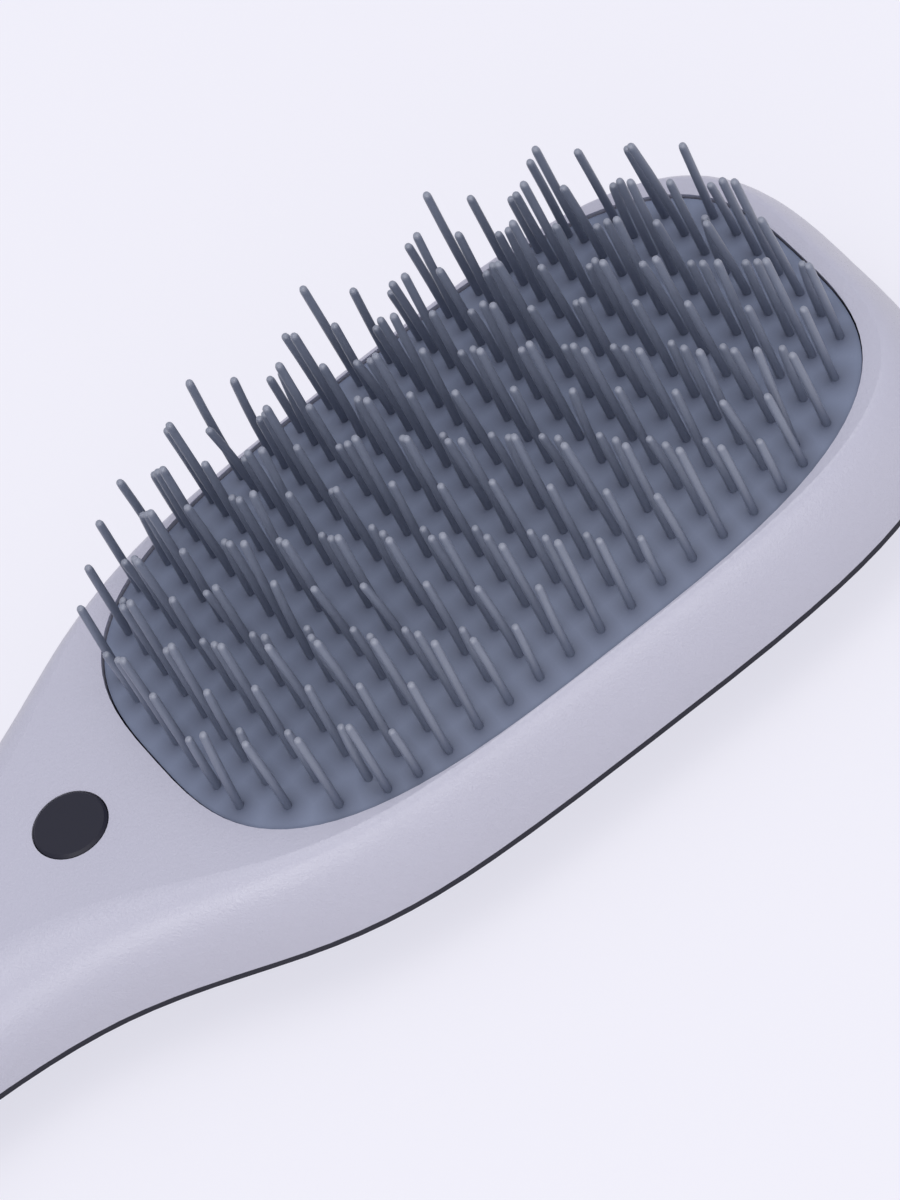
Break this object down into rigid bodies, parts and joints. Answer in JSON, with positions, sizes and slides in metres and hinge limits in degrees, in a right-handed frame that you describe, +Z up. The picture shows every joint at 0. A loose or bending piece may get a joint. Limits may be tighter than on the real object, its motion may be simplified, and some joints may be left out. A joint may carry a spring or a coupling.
{
  "type": "scalp massager brush",
  "caption": "Cordless paddle brush for massaging the scalp: rubber cushion with round-tipped pins in waves of three lengths, a vibration motor inside and a power button.",
  "frame": {"origin": "middle of the brush's length and width, on the plane its flat back rests on", "axes": "+X from the handle to the head, +Y across, +Z up out of the bristles"},
  "size_m": [0.236, 0.0674, 0.044],
  "materials": {
    "casing_pale": "satin, very fine sparkle grain",
    "casing_dark": "matt moulded plastic",
    "cushion_rubber": "soft matt rubber",
    "pin_nylon": "semi-matt nylon with paler rounded tips",
    "button_dark": "satin cap with a fine bevel",
    "inner_plastic": "natural moulded plastic",
    "mount_rubber": "soft black rubber",
    "screw_steel": "zinc plated",
    "motor_steel": "plain pressed steel",
    "shaft_steel": "ground steel",
    "bearing_brass": "sintered bronze and brass",
    "magnet": "sintered ferrite",
    "switch_black": "black moulding",
    "board_green": "solder mask over glass fibre board",
    "socket_white": "off-white moulding",
    "cell_wrap": "shrink wrap",
    "contact_nickel": "nickel plated",
    "foam_grey": "open foam",
    "lead_insulation": "red and black insulation"
  },
  "bodies": {
    "casing": {"upper_casing": "casing_pale", "lower_casing": "casing_dark", "casing_screws": "screw_steel", "tray_mounts": "mount_rubber", "tact_switch": "motor_steel", "circuit_board": "board_green", "board_screws": "screw_steel", "driver_chip": "switch_black", "lead_sockets": "socket_white", "battery_cell": "cell_wrap", "battery_tabs": "contact_nickel", "battery_cradle": "inner_plastic", "battery_foam": "foam_grey", "charging_port": "contact_nickel", "port_tongue": "switch_black", "charging_board": "board_green", "motor_leads": "lead_insulation", "cell_leads": "lead_insulation", "charge_leads": "lead_insulation"},
    "bristle_tray": {"bristle_cushion": "cushion_rubber", "pins_short": "pin_nylon", "pins_medium": "pin_nylon", "pins_long": "pin_nylon", "pin_plate": "inner_plastic", "motor_can": "motor_steel", "motor_end_cap": "inner_plastic", "motor_bushing": "bearing_brass", "motor_magnets": "magnet", "motor_sleeve": "mount_rubber", "motor_strap": "inner_plastic", "strap_screws": "screw_steel"},
    "rotor": {"motor_shaft": "shaft_steel", "motor_armature": "motor_steel", "eccentric_weight": "bearing_brass"},
    "button": {"power_button": "button_dark", "switch_plunger": "switch_black"}
  },
  "joints": [
    {"name": "tray_press", "type": "slide", "parent": "casing", "child": "bristle_tray", "axis": [0, 0, -1], "range_m": [0, 0.0015], "stiffness_N_per_m": 5000, "springref_m": -0.0006, "deforming": ["tray_mounts"]},
    {"name": "motor_spin", "type": "hinge", "parent": "bristle_tray", "child": "rotor", "pos_m": [0.0675, 0, 0.01028], "axis": [1, 0, 0], "continuous": true},
    {"name": "button_press", "type": "slide", "parent": "casing", "child": "button", "axis": [0, 0, -1], "range_m": [0, 0.0004], "stiffness_N_per_m": 2000, "springref_m": -0.0003}
  ]
}
